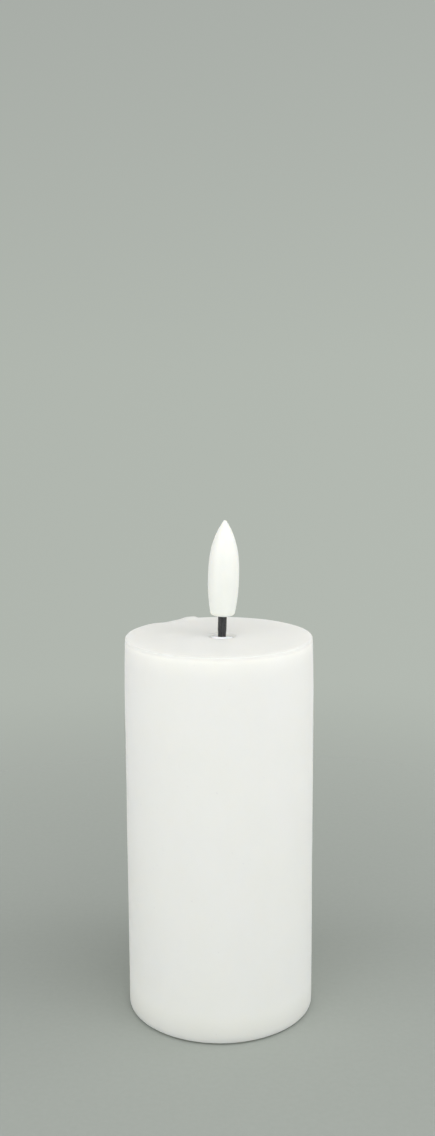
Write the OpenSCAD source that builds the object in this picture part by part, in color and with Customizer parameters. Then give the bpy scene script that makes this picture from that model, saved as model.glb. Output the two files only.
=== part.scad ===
// Flameless LED pillar candle. A hollow wax pillar is cast round a plastic liner. The liner holds a
// battery case with two AAA cells, a timer board and a slide switch, and its top carries a black
// wick with a bullet-shaped flame that hides the LED.
// Frame: millimetres, +Z up, origin at the centre of the foot, the front (switch side) at -Y.

/* [Pillar] */
// Outer diameter of the wax pillar
pillar_d = 50; // [50:0.5:54]
// Height of the wax pillar's top face above the surface it stands on
pillar_h = 102; // [100:1:140]
// Radius of the wax at the top edge
top_round = 1.2; // [0.6:0.1:2]
// Radius of the wax at the bottom edge
bottom_round = 0.5; // [0.2:0.1:0.8]
// Thickness of the wax wall
wax_wall = 3; // [2.5:0.1:3]
// Thickness of the wax over the liner's top
wax_top = 4; // [3:0.5:5]

/* [Wick and flame] */
// Diameter of the black wick sleeve
wick_d = 2.2; // [2:0.1:2.4]
// Length of wick that shows between the wax and the flame
wick_out = 6.2; // [4:0.2:8]
// Distance of the wick from the pillar's axis, towards +X
wick_x = 0.8; // [0:0.1:1.5]
// Lean of the wick and flame towards +X, in degrees
wick_lean = 1.75; // [0:0.25:3]
// Depth of the hollow in the wax round the wick
hollow_depth = 0.7; // [0.4:0.1:1]
// Diameter of that hollow at the top face
hollow_d = 7.2; // [6.4:0.2:9]
// Largest diameter of the flame
flame_d = 8.1; // [7.8:0.1:9]
// Diameter of the flame at its foot
flame_foot_d = 6.2; // [6:0.1:7]
// Length of the flame
flame_len = 25.1; // [24:0.1:30]

/* [Cells] */
// Diameter of an AAA cell
cell_d = 10.5; // [10.3:0.1:10.5]
// Length of an AAA cell with its button
cell_len = 44.5; // [44:0.1:44.5]

/* [Switch] */
// Travel of the slide switch each way from its middle, off position
switch_travel = 2; // [1.5:0.1:2]

/* [Hidden] */
$fn = 96;
over = 1; // how far a cutting tool runs past the face that it cuts
sink = 0.6; // how far a raised feature runs into the body that it stands on
slip = 0.05; // gap between parts that are glued or pushed together

pillar_r = pillar_d / 2;

// Foot ring and liner
foot_h = 0.6;
foot_r = pillar_r - 1.4;
bore_r = pillar_r - wax_wall;
bore_top = pillar_h - wax_top;
liner_r = bore_r - slip;
liner_wall = 1.3;
liner_bore_r = liner_r - liner_wall;
liner_top_z = bore_top - slip;
liner_ceiling_z = liner_top_z - 1.6;

// Case floor, which closes the liner from below
case_r = liner_bore_r - 0.25;
floor_z = 1.5;
floor_t = 2.4;
floor_top = floor_z + floor_t;

// Screws that hold the case in the liner
screw_ring_r = case_r - 2.8;
screw_angles = [20, 160, 270];
screw_seat_z = 3.2;
screw_head_r = 2.1;
screw_head_h = 1.3;
screw_r = 1;
screw_len = 7;
pad_r = 2.2;
pad_h = 1.1;
boss_r = 2.5;
boss_z = floor_top + pad_h;
boss_len = [9, 9, 5.5];

// Cells and their pocket
cell_pitch = cell_d + 0.5;
cell_y = 6.3;
cell_r = cell_d / 2;
pocket_r = cell_r + 0.3;
case_wall = 1.2;
can_r = cell_r - 0.15;
button_r = 1.9;
button_h = 1;
plate_t = 0.4;

// Battery door, hinged at its rear edge
door_t = 1.6;
door_x = 12.6;
door_front_y = -1.2;
door_rear_y = 13.2;
door_corner_r = 5.5;
door_gap = 0.25;
door_top = floor_z + door_t;
hinge_y = 14.3;
hinge_z = 2.5;
barrel_r = 1;
barrel_x = 9;
stub_r = 0.6;
stub_len = 1.4;
tongue_x = 3.2;
tongue_y = 2.8;
hook_x = 2.4;
stake_y = [cell_y - 2, cell_y + 2];

// Heights of the contacts and cells
dimple_h = 0.4;
door_plate_top = door_top + plate_t;
right_cell_z = door_plate_top + dimple_h;
left_cell_z = 7;
contact_z = left_cell_z + cell_len;
pocket_top = contact_z + plate_t;
case_top = pocket_top + 1.6;
contact_side = 7.6;
tab_w = 2.6;
tab_top = case_top + 3.5;
tab_y = cell_y - contact_side / 2;
coil_wire_r = 0.3;
coil_r = 2.6;

// Circuit board on its posts
board_x = 11;
board_front_y = -16.4;
board_rear_y = -4.1;
board_z = 11;
board_t = 1.2;
board_top = board_z + board_t;
post_r = 1.6;
post_x = 9;
post_front_y = -14.9;
post_rear_y = -5.6;
board_screws_at = [[-post_x, post_front_y], [post_x, post_rear_y]];
board_pins_at = [[post_x, post_front_y], [-post_x, post_rear_y]];
board_screw_r = 0.8;
board_hole_r = 0.95;

// Slide switch and the slider that a thumb pushes
switch_y = -10.25;
frame_z = 7.2;
frame_x = 4.3;
frame_y = 2.2;
frame_wall = 0.35;
lever_x = 1;
lever_y = 0.85;
lever_foot_x = frame_x - frame_wall - switch_travel - 0.05;
flange_x = 6.5;
flange_y = 2.2;
grip_x = 1.9;
grip_y = 1.4;
grip_z = 0.9;
pin_side = 0.5;
pin_pitch = 2.5;

// Wick, ferrule and LED, as distances along the wick's axis from the floor of the hollow
wick_r = wick_d / 2;
wick_bore_r = wick_r - 0.35;
seat_z = pillar_h - hollow_depth;
ferrule_r = 2.1;
ferrule_flange_r = 2.8;
ferrule_flange_h = 0.8;
ferrule_len = seat_z - liner_ceiling_z + 3;
nut_r = 4;
nut_h = 1.8;
wick_in = ferrule_len + 1.5;
wick_grip = 3;
wick_top = wick_out + wick_grip;
lead_r = 0.22;
lead_gap = 0.8;
lead_end = -12;
led_r = 1.5;

// Flame profile
flame_wide_z = 9.5;
flame_power = 2.8;
flame_wall = 1.5;
flame_tip_r = 0.55;
flame_tip_angle = 35.7;
flame_foot_r = 1;
flame_foot_angle = 11.3;
flame_sharp_len = flame_len + 0.4;
flame_cavity_top = 21.5;

// Routes of the wires, from the board to what they feed
wire_r = 0.55;
led_wire_r = 0.35;
battery_wire_yz = [
    [-5.1, board_top + slip], [-5.1, 15], [-2.6, 30], [-1.8, 42], [-1.5, 50],
    [-1.1, 53.6], [0.4, 55.4], [tab_y, 55.5]
];
lead_x = wick_x + lead_end * sin(wick_lean);
lead_z = seat_z + lead_end * cos(wick_lean);
led_wire_yz = [
    [-5.6, board_top + slip], [-5.6, 15], [-3, 32], [-2.2, 46], [-2.2, 60],
    [-1.4, 74], [-0.3, lead_z - 6], [0, lead_z]
];
led_wire_spread = [1.3, 1.3, 1.2, 1.1, 1.1, 0.9, 0.45, lead_gap / 2];

// ---- helpers ----

// A ring of square section
module ring(outer_r, inner_r, h) {
    difference() {
        cylinder(r = outer_r, h = h);
        translate([0, 0, -over]) cylinder(r = inner_r, h = h + 2 * over);
    }
}

// A block centred in X and Y, standing on its base
module block(size_x, size_y, h) {
    translate([-size_x / 2, -size_y / 2, 0]) cube([size_x, size_y, h]);
}

// A slab with two round ends, its end centres `pitch` apart along X
module obround(pitch, r, h) {
    linear_extrude(height = h) {
        for (side = [-1, 1]) translate([side * pitch / 2, 0]) circle(r = r);
        translate([-pitch / 2, -r]) square([pitch, 2 * r]);
    }
}

// A slab with round corners between two Y limits
module rounded_slab(half_x, y0, y1, r, h) {
    linear_extrude(height = h) {
        translate([-half_x + r, y0]) square([2 * (half_x - r), y1 - y0]);
        translate([-half_x, y0 + r]) square([2 * half_x, y1 - y0 - 2 * r]);
        for (x = [-half_x + r, half_x - r], y = [y0 + r, y1 - r]) translate([x, y]) circle(r = r);
    }
}

// Things on the wick's leaning axis, which starts at the floor of the hollow
module on_wick() {
    translate([wick_x, 0, seat_z]) rotate([0, wick_lean, 0]) children();
}

// One copy at each screw of the case, with its index in $screw
module at_case_screws() {
    for (i = [0:len(screw_angles) - 1]) {
        $screw = i;
        rotate([0, 0, screw_angles[i]]) translate([screw_ring_r, 0, 0]) children();
    }
}

function unit(v) = v / norm(v);

// Point at share t of the span between b and c, on a smooth curve through a, b, c and d
function spline(a, b, c, d, t) =
    0.5 * (2 * b + (c - a) * t + (2 * a - 5 * b + 4 * c - d) * t * t
        + (3 * b - a - 3 * c + d) * t * t * t);

// A smooth path through the given points, with the given number of steps in each span
function smooth(p, steps) = concat(
    [for (i = [0:len(p) - 2], k = [0:steps - 1])
        spline(p[max(i - 1, 0)], p[i], p[i + 1], p[min(i + 2, len(p) - 1)], k / steps)],
    [p[len(p) - 1]]
);

function heading(p, i) = unit(p[min(i + 1, len(p) - 1)] - p[max(i - 1, 0)]);

// A round tube along a path. `across` is a direction that the path never runs in.
module tube(path, r, across, sides = 8) {
    last = len(path) - 1;
    points = [
        for (i = [0:last])
            let (t = heading(path, i), u = unit(cross(across, t)), v = cross(t, u))
            for (k = [0:sides - 1])
                path[i] + r * (cos(360 * k / sides) * u + sin(360 * k / sides) * v)
    ];
    walls = [
        for (i = [0:last - 1], k = [0:sides - 1])
            let (a = i * sides + k, b = i * sides + (k + 1) % sides)
            [a, a + sides, b + sides, b]
    ];
    caps = [[for (k = [0:sides - 1]) k], [for (k = [sides - 1:-1:0]) last * sides + k]];
    polyhedron(points = points, faces = concat(walls, caps));
}

// A compression coil between two heights, its wire inside both of them
module coil(z0, z1, turns) {
    steps = round(turns * 14);
    low = z0 + coil_wire_r;
    rise = z1 - z0 - 2 * coil_wire_r;
    path = [for (i = [0:steps])
        let (a = 360 * turns * i / steps)
        [coil_r * cos(a), coil_r * sin(a), low + rise * i / steps]];
    tube(path, coil_wire_r, [0, 0, 1]);
}

// ---- pillar ----

module wax_shell() {
    color("ivory") difference() {
        translate([0, 0, foot_h]) wax_blank(pillar_h - foot_h);
        translate([0, 0, -over]) cylinder(r = bore_r, h = bore_top + over);
        on_wick() {
            translate([0, 0, -wax_top]) cylinder(r = ferrule_r + slip, h = wax_top);
            translate([0, 0, -ferrule_flange_h - slip])
                cylinder(r = ferrule_flange_r + slip, h = ferrule_flange_h + 2 * slip);
            // the cone of the hollow, carried on past the top face at the same slope
            cylinder(
                r1 = ferrule_flange_r + slip,
                r2 = hollow_d - ferrule_flange_r - slip,
                h = 2 * hollow_depth
            );
        }
    }
}

// The pillar before it is hollowed: a cylinder with a rounded top and bottom edge
module wax_blank(h) {
    rotate_extrude() {
        translate([0, bottom_round]) square([pillar_r, h - bottom_round - top_round]);
        square([pillar_r - bottom_round, h]);
        translate([pillar_r - bottom_round, bottom_round]) circle(r = bottom_round);
        translate([0, h - top_round]) square([pillar_r - top_round, top_round]);
        translate([pillar_r - top_round, h - top_round]) circle(r = top_round);
    }
}

module inner_liner() {
    color("white") difference() {
        union() {
            difference() {
                translate([0, 0, foot_h]) cylinder(r = liner_r, h = liner_top_z - foot_h);
                translate([0, 0, -over]) cylinder(r = liner_bore_r, h = liner_ceiling_z + over);
            }
            at_case_screws() liner_boss(boss_len[$screw]);
        }
        at_case_screws() translate([0, 0, boss_z - over])
            cylinder(r = screw_r + slip, h = screw_len);
        on_wick() translate([0, 0, -ferrule_len - over])
            cylinder(r = ferrule_r + slip, h = ferrule_len + over);
    }
}

// A boss for a case screw, with the web that joins it to the liner's wall
module liner_boss(h) {
    translate([0, 0, boss_z]) {
        cylinder(r = boss_r, h = h);
        translate([0, -boss_r * 0.7, 0])
            cube([liner_bore_r - screw_ring_r + 0.6, boss_r * 1.4, h]);
    }
}

module foot_ring() {
    color("gainsboro") ring(foot_r, liner_bore_r, foot_h);
}

// ---- wick and flame ----

module wick_ferrule() {
    color("white") on_wick() difference() {
        union() {
            translate([0, 0, -ferrule_len]) cylinder(r = ferrule_r, h = ferrule_len);
            translate([0, 0, -ferrule_flange_h])
                cylinder(r = ferrule_flange_r, h = ferrule_flange_h);
        }
        translate([0, 0, -ferrule_len - over])
            cylinder(r = wick_r + slip, h = ferrule_len + 2 * over);
    }
}

module ferrule_nut() {
    nut_top = seat_z - liner_ceiling_z + 0.15;
    color("white") on_wick() translate([0, 0, -nut_top - nut_h])
        ring(nut_r, ferrule_r + slip, nut_h);
}

module wick_tube() {
    color("#23272a") on_wick() translate([0, 0, -wick_in])
        ring(wick_r, wick_bore_r, wick_in + wick_top);
}

// Radius of the flame at height z above its foot: a shallow barrel below its widest height and a
// blunt ogive above
function flame_r(z) = let (r = flame_d / 2)
    z < flame_wide_z
        ? r - (r - flame_foot_d / 2) * pow(1 - z / flame_wide_z, 2)
        : r * (1 - pow((z - flame_wide_z) / (flame_sharp_len - flame_wide_z), flame_power));

// Outline of the flame: round foot, sides, round tip
function flame_outline() = let (
    foot_top = flame_foot_r * (1 - sin(flame_foot_angle)),
    foot_x = flame_r(foot_top) - flame_foot_r * cos(flame_foot_angle),
    tip_z = flame_len - flame_tip_r,
    side_end = tip_z + flame_tip_r * sin(flame_tip_angle),
    side_steps = 30,
    arc_steps = 6
) concat(
    [[0, 0]],
    [for (i = [0:arc_steps]) let (a = -90 + (90 - flame_foot_angle) * i / arc_steps)
        [foot_x + flame_foot_r * cos(a), flame_foot_r * (1 + sin(a))]],
    [for (i = [1:side_steps - 1]) let (z = foot_top + (side_end - foot_top) * i / side_steps)
        [flame_r(z), z]],
    [for (i = [0:arc_steps - 1])
        let (a = flame_tip_angle + (90 - flame_tip_angle) * i / arc_steps)
        [flame_tip_r * cos(a), tip_z + flame_tip_r * sin(a)]],
    [[0, flame_len]]
);

// Outline of the hollow that the LED shines in
function flame_cavity() = let (steps = 12) concat(
    [[0, wick_grip]],
    [for (i = [0:steps]) let (z = wick_grip + (flame_cavity_top - wick_grip) * i / steps)
        [flame_r(z) - flame_wall, z]],
    [[0, flame_cavity_top + 0.4]]
);

module flame_bulb() {
    color("white") on_wick() translate([0, 0, wick_out]) difference() {
        rotate_extrude() polygon(flame_outline());
        rotate_extrude() polygon(flame_cavity());
        translate([0, 0, -over]) cylinder(r = wick_r + 0.02, h = wick_grip + 2 * over);
    }
}

module flame_led() {
    rim_h = 0.8;
    body_h = 3;
    color("lemonchiffon") on_wick() translate([0, 0, wick_top]) {
        cylinder(r = led_r + 0.25, h = rim_h);
        cylinder(r = led_r, h = body_h);
        translate([0, 0, body_h]) sphere(r = led_r);
    }
}

module led_leads() {
    color("silver") on_wick() for (side = [-1, 1])
        translate([side * lead_gap / 2, 0, lead_end])
            cylinder(r = lead_r, h = wick_top - lead_end);
}

// ---- battery case ----

module battery_case() {
    color("whitesmoke") difference() {
        union() {
            translate([0, 0, floor_z]) cylinder(r = case_r, h = floor_t);
            translate([0, cell_y, floor_z])
                obround(cell_pitch, pocket_r + case_wall, case_top - floor_z);
            at_case_screws() translate([0, 0, floor_top - sink])
                cylinder(r = pad_r, h = pad_h + sink);
            hinge_pad();
            switch_rails();
            board_posts();
        }
        translate([0, cell_y, door_top + 0.05])
            obround(cell_pitch, pocket_r, pocket_top - door_top - 0.05);
        door_opening();
        hinge_relief();
        slider_slot();
        finger_scoop();
        tab_slots();
        at_case_screws() {
            translate([0, 0, floor_z - over])
                cylinder(r = screw_head_r + 0.2, h = screw_seat_z - floor_z + over);
            cylinder(r = screw_r + 0.2, h = boss_z + over);
        }
        for (p = board_screws_at) translate([p[0], p[1], floor_top + 1])
            cylinder(r = board_screw_r + slip, h = board_z);
    }
}

// Thicker floor over the door's hinge
module hinge_pad() {
    translate([0, hinge_y, floor_top - over]) block(2 * (barrel_x + 2.4), 4.6, over + 0.8);
}

// Two rails that guide the slider's flange
module switch_rails() {
    for (side = [-1, 1]) translate([0, switch_y + side * (flange_y + 0.45), floor_top - sink])
        block(18, 0.6, 1.3 + sink);
}

// Four posts under the board: two take screws and two have locating pins
module board_posts() {
    base_z = floor_top - sink;
    for (p = concat(board_screws_at, board_pins_at))
        translate([p[0], p[1], base_z]) cylinder(r = post_r, h = board_z - base_z);
    for (p = board_pins_at)
        translate([p[0], p[1], base_z]) cylinder(r = 0.6, h = board_top + 0.5 - base_z);
}

// Rebate for the door, with a notch for its hook
module door_opening() {
    translate([0, 0, floor_z - over]) rounded_slab(
        door_x + door_gap, door_front_y - door_gap, door_rear_y + door_gap,
        door_corner_r + door_gap, door_t + 0.05 + over
    );
    translate([-hook_x - 0.4, door_front_y - door_gap, floor_z])
        cube([2 * hook_x + 0.8, 3, floor_t + over]);
}

// Room for the door's barrel and blind holes for its stub pins
module hinge_relief() {
    depth = barrel_r + 0.15;
    translate([-barrel_x - 0.3, door_rear_y - 0.3, floor_z - over]) cube([
        2 * barrel_x + 0.6, hinge_y + depth - door_rear_y + 0.3, hinge_z + depth - floor_z + over
    ]);
    translate([-barrel_x - stub_len - 0.3, hinge_y, hinge_z]) rotate([0, 90, 0])
        cylinder(r = stub_r + 0.06, h = 2 * (barrel_x + stub_len + 0.3));
}

// Slot that the grip runs in, with a shallow trough round it
module slider_slot() {
    translate([0, switch_y, floor_z - over]) {
        block(2 * (grip_x + switch_travel + 0.3), 2 * grip_y + 0.4, floor_t + 2 * over);
        obround(9, 3, over + 0.6);
    }
}

// Hollow for a fingertip at the door's free edge
module finger_scoop() {
    translate([0, door_front_y, floor_z - over]) cylinder(r = 3.6, h = over + 1);
}

module tab_slots() {
    for (side = [-1, 1]) translate([side * cell_pitch / 2, tab_y + plate_t / 2, pocket_top - over])
        block(tab_w + 0.4, plate_t + 0.3, case_top - pocket_top + 2 * over);
}

// ---- battery door ----

module battery_door() {
    color("whitesmoke") {
        difference() {
            translate([0, 0, floor_z])
                rounded_slab(door_x, door_front_y, door_rear_y, door_corner_r, door_t);
            for (side = [-1, 1])
                translate([side * tongue_x, door_front_y + tongue_y / 2, floor_z - over])
                    block(0.6, tongue_y + over, door_t + 2 * over);
            // grip grooves across the latch tongue
            for (i = [0:2]) translate([0, door_front_y + 0.7 + i, floor_z - over])
                block(4.4, 0.4, over + 0.3);
        }
        // latch hook
        translate([-hook_x, door_front_y, door_top]) cube([2 * hook_x, 0.9, 1.1]);
        // hinge barrel with its web and stub pins
        translate([-barrel_x, door_rear_y - 0.2, floor_z])
            cube([2 * barrel_x, hinge_y - door_rear_y + 0.2, door_t]);
        translate([-barrel_x, hinge_y, hinge_z]) rotate([0, 90, 0])
            cylinder(r = barrel_r, h = 2 * barrel_x);
        translate([-barrel_x - stub_len, hinge_y, hinge_z]) rotate([0, 90, 0])
            cylinder(r = stub_r, h = 2 * (barrel_x + stub_len));
        for (y = stake_y) translate([0, y, door_top]) cylinder(r = 0.7, h = 1);
    }
}

// Strip on the door that joins the two cells
module door_contact() {
    color("silver") {
        difference() {
            translate([0, cell_y, door_top]) block(19, 6, plate_t);
            for (y = stake_y) translate([0, y, 0]) cylinder(r = 0.75, h = 10);
        }
        translate([cell_pitch / 2, cell_y, door_plate_top]) cylinder(r = 1.8, h = dimple_h);
    }
}

module door_spring() {
    color("silver") translate([-cell_pitch / 2, cell_y, 0]) coil(door_plate_top, left_cell_z, 3);
}

// ---- contacts and cells ----

// Plate under the pocket's ceiling, with a tab that comes out through it
module top_contact(side) {
    translate([side * cell_pitch / 2, 0, contact_z]) {
        translate([0, cell_y, 0]) block(contact_side, contact_side, plate_t);
        translate([0, tab_y + plate_t / 2, 0]) block(tab_w, plate_t, tab_top - contact_z);
    }
}

module positive_contact() {
    color("silver") top_contact(-1);
}

module negative_contact() {
    color("silver") top_contact(1);
}

module negative_spring() {
    color("silver") translate([cell_pitch / 2, cell_y, 0])
        coil(right_cell_z + cell_len, contact_z, 2.5);
}

// Moves a cell that stands button up on z = 0 to its place. The right-hand cell is upside down.
module cell_place(side) {
    z = side < 0 ? left_cell_z : right_cell_z + cell_len;
    translate([side * cell_pitch / 2, cell_y, z]) rotate([side < 0 ? 0 : 180, 0, 0]) children();
}

module cell_can() {
    cylinder(r = can_r, h = cell_len - button_h);
    cylinder(r = button_r, h = cell_len);
}

module cell_sleeve() {
    translate([0, 0, 0.4]) ring(cell_r, can_r + 0.02, cell_len - button_h - 0.8);
}

module battery_left() {
    color("silver") cell_place(-1) cell_can();
}

module battery_right() {
    color("silver") cell_place(1) cell_can();
}

module battery_left_sleeve() {
    color("darkslategray") cell_place(-1) cell_sleeve();
}

module battery_right_sleeve() {
    color("darkslategray") cell_place(1) cell_sleeve();
}

// ---- circuit board ----

module circuit_board() {
    color("darkgreen") difference() {
        translate([-board_x, board_front_y, board_z])
            cube([2 * board_x, board_rear_y - board_front_y, board_t]);
        for (p = concat(board_screws_at, board_pins_at))
            translate([p[0], p[1], 0]) cylinder(r = board_hole_r, h = board_top + over);
        at_switch_pins() cylinder(r = pin_side, h = board_top + over);
    }
}

chip_x = -6.4;
chip_y = -10.2;

module control_chip() {
    color("#202022") translate([chip_x, chip_y, board_top + 0.1]) block(3.9, 4.9, 1.4);
}

module chip_legs() {
    color("silver") for (side = [-1, 1], i = [0:3])
        translate([chip_x, chip_y - 1.9 + 1.27 * i, board_top]) scale([side, 1, 1]) {
            translate([1.95, -0.2, 0.65]) cube([0.45, 0.4, 0.2]);
            translate([2.2, -0.2, 0]) cube([0.2, 0.4, 0.85]);
            translate([2.2, -0.2, 0]) cube([0.8, 0.4, 0.2]);
        }
}

module timing_crystal() {
    color("silver") translate([-3.5, -15, board_top + 1.05]) rotate([0, 90, 0])
        cylinder(r = 1, h = 6);
}

module chip_resistors() {
    color("#2b2b2b") for (p = [[-1.4, -13], [1.4, -13], [0, -7.7]])
        translate([p[0], p[1], board_top]) block(2, 1.25, 0.5);
}

module buffer_capacitor() {
    color("slateblue") translate([6.2, -10.6, board_top]) {
        block(4.3, 4.3, 0.8);
        cylinder(r = 2, h = 5.4);
    }
}

// ---- switch ----

module at_switch_pins() {
    for (i = [-1:1]) translate([i * pin_pitch, switch_y, 0]) children();
}

// Folded steel frame, open towards the board
module switch_frame() {
    color("lightsteelblue") translate([0, switch_y, frame_z]) difference() {
        block(2 * frame_x, 2 * frame_y, board_z - frame_z);
        translate([0, 0, frame_wall])
            block(2 * (frame_x - frame_wall), 2 * (frame_y - frame_wall), board_z - frame_z);
        translate([0, 0, -over])
            block(2 * (lever_x + switch_travel + 0.2), 2 * lever_y + 0.3, 2 * over);
    }
}

module switch_base() {
    color("saddlebrown") translate([0, switch_y, board_z - 0.8])
        block(2 * (frame_x - frame_wall), 2 * (frame_y - frame_wall), 0.8);
}

module switch_pins() {
    color("silver") at_switch_pins() translate([0, 0, board_z])
        block(pin_side, pin_side, board_t + 0.8);
}

module switch_lever() {
    foot_z = frame_z + frame_wall + 0.1;
    color("#1e1e1e") translate([0, switch_y, 0]) {
        translate([0, 0, 5.3]) block(2 * lever_x, 2 * lever_y, foot_z - 5.3);
        translate([0, 0, foot_z]) block(2 * lever_foot_x, 3.2, 2.1);
    }
}

// The piece that a thumb pushes: a grip, a flange inside the floor and a yoke round the lever
module switch_slider() {
    flange_z = floor_top + 0.1;
    color("#2b2b2b") translate([0, switch_y, 0]) difference() {
        union() {
            translate([0, 0, grip_z]) block(2 * grip_x, 2 * grip_y, flange_z - grip_z);
            translate([0, 0, flange_z]) block(2 * flange_x, 2 * flange_y, 1);
            translate([0, 0, flange_z]) block(4.8, 4, 2.9);
        }
        translate([0, 0, 5.2]) block(2 * lever_x + 0.2, 2 * lever_y + 0.2, 3);
        for (i = [-1:1]) translate([i * 1.1, 0, grip_z - over]) block(0.5, 4, over + 0.35);
    }
}

// ---- screws ----

// A pan-head screw pointing up, its head's flat face at z = 0
module screw(head_r, head_h, shank_r, length) {
    difference() {
        union() {
            translate([0, 0, -head_h]) cylinder(r = head_r, h = head_h);
            cylinder(r = shank_r, h = length);
        }
        for (a = [0, 90]) rotate([0, 0, a]) translate([0, 0, -head_h - over])
            block(head_r * 1.15, head_r * 0.28, over + head_h * 0.55);
    }
}

module case_screws() {
    color("silver") at_case_screws() translate([0, 0, screw_seat_z])
        screw(screw_head_r, screw_head_h, screw_r, screw_len);
}

module board_screws() {
    color("silver") for (p = board_screws_at)
        translate([p[0], p[1], board_top]) rotate([180, 0, 0])
            screw(1.5, 1, board_screw_r, 5.5);
}

// ---- wires ----

module battery_wire(side) {
    path = [for (p = battery_wire_yz) [side * cell_pitch / 2, p[0], p[1]]];
    tube(smooth(path, 4), wire_r, [1, 0, 0], 10);
}

module led_wire(side) {
    last = len(led_wire_yz) - 1;
    path = [for (i = [0:last])
        let (centre_x = i < last - 1 ? 0 : i < last ? lead_x * 0.75 : lead_x)
        [centre_x + side * led_wire_spread[i], led_wire_yz[i][0], led_wire_yz[i][1]]];
    tube(smooth(path, 5), led_wire_r, [1, 0, 0]);
}

module red_battery_wire() {
    color("firebrick") battery_wire(-1);
}

module black_battery_wire() {
    color("#202020") battery_wire(1);
}

module red_led_wire() {
    color("firebrick") led_wire(-1);
}

module black_led_wire() {
    color("#202020") led_wire(1);
}

wax_shell();
inner_liner();
foot_ring();
wick_ferrule();
ferrule_nut();
wick_tube();
flame_bulb();
flame_led();
led_leads();
battery_case();
battery_door();
door_contact();
door_spring();
positive_contact();
negative_contact();
negative_spring();
battery_left();
battery_right();
battery_left_sleeve();
battery_right_sleeve();
circuit_board();
control_chip();
chip_legs();
timing_crystal();
chip_resistors();
buffer_capacitor();
switch_frame();
switch_base();
switch_pins();
switch_lever();
switch_slider();
board_screws();
case_screws();
red_battery_wire();
black_battery_wire();
red_led_wire();
black_led_wire();
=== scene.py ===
"""Looks of the flameless LED candle: finer pieces, materials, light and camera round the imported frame."""

import math

import bpy
from mathutils import Matrix, Vector, noise

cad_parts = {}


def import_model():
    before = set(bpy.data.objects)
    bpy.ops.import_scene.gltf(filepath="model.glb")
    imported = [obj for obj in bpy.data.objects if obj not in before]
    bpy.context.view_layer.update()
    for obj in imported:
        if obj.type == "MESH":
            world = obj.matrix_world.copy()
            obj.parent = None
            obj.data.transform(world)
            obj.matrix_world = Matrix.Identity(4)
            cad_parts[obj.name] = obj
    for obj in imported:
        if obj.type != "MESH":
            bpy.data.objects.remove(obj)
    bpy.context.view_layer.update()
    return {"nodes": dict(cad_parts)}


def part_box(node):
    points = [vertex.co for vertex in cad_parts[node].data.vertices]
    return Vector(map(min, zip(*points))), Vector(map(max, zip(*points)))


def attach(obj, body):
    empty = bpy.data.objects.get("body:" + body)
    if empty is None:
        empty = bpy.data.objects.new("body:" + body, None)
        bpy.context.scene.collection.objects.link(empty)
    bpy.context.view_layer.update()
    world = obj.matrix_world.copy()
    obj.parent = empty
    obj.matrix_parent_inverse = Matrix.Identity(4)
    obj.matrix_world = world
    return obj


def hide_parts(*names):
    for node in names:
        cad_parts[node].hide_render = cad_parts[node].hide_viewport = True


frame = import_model()

MM = 0.001
NODES = frame["nodes"]


# ---- measures read from the frame ----

def node_axis(node, end=0.2 * MM):
    """Bottom and top of a straight, nearly upright node's own axis: the middles of its end rings."""
    points = [v.co for v in NODES[node].data.vertices]
    low, high = (pick(p.z for p in points) for pick in (min, max))
    bottom = [p for p in points if p.z < low + end]
    top = [p for p in points if p.z > high - end]
    return sum(bottom, Vector()) / len(bottom), sum(top, Vector()) / len(top)


wax_low, wax_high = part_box("wax_shell")
liner_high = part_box("inner_liner")[1]
flange_low, flange_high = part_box("wick_ferrule")
foot_low, foot_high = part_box("foot_ring")
case_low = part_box("battery_case")[0]
PILLAR_R = wax_high.x
PILLAR_TOP = wax_high.z
WICK_BOTTOM, WICK_TOP = node_axis("wick_tube")
WICK_UP = (WICK_TOP - WICK_BOTTOM).normalized()
WICK_R = (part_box("wick_tube")[1].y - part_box("wick_tube")[0].y) / 2
FLANGE_R = (flange_high.y - flange_low.y) / 2
FIT = 0.05 * MM  # the CAD parts' gap between pieces that are glued or pushed together


def on_wick_axis(z):
    """The point of the wick's leaning axis at height z."""
    return WICK_BOTTOM + WICK_UP * ((z - WICK_BOTTOM.z) / WICK_UP.z)


HOLLOW_DEPTH = 0.7 * MM
SEAT = on_wick_axis(PILLAR_TOP - HOLLOW_DEPTH)
ON_WICK = Matrix.Translation(SEAT) @ Vector((0, 0, 1)).rotation_difference(WICK_UP).to_matrix().to_4x4()


# ---- mesh helpers ----

def smoothstep(low, high, x):
    t = min(max((x - low) / (high - low), 0), 1)
    return t * t * (3 - 2 * t)


def arc(centre_r, centre_z, radius, start, end, steps):
    """Outline points on an arc in the (r, z) plane, with its angles in degrees."""
    turns = (math.radians(start + (end - start) * i / steps) for i in range(steps + 1))
    return [(centre_r + radius * math.cos(a), centre_z + radius * math.sin(a)) for a in turns]


def line(r0, z0, r1, z1, steps):
    """Outline points along a straight stretch, without its two ends."""
    return [(r0 + (r1 - r0) * i / steps, z0 + (z1 - z0) * i / steps) for i in range(1, steps)]


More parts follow.
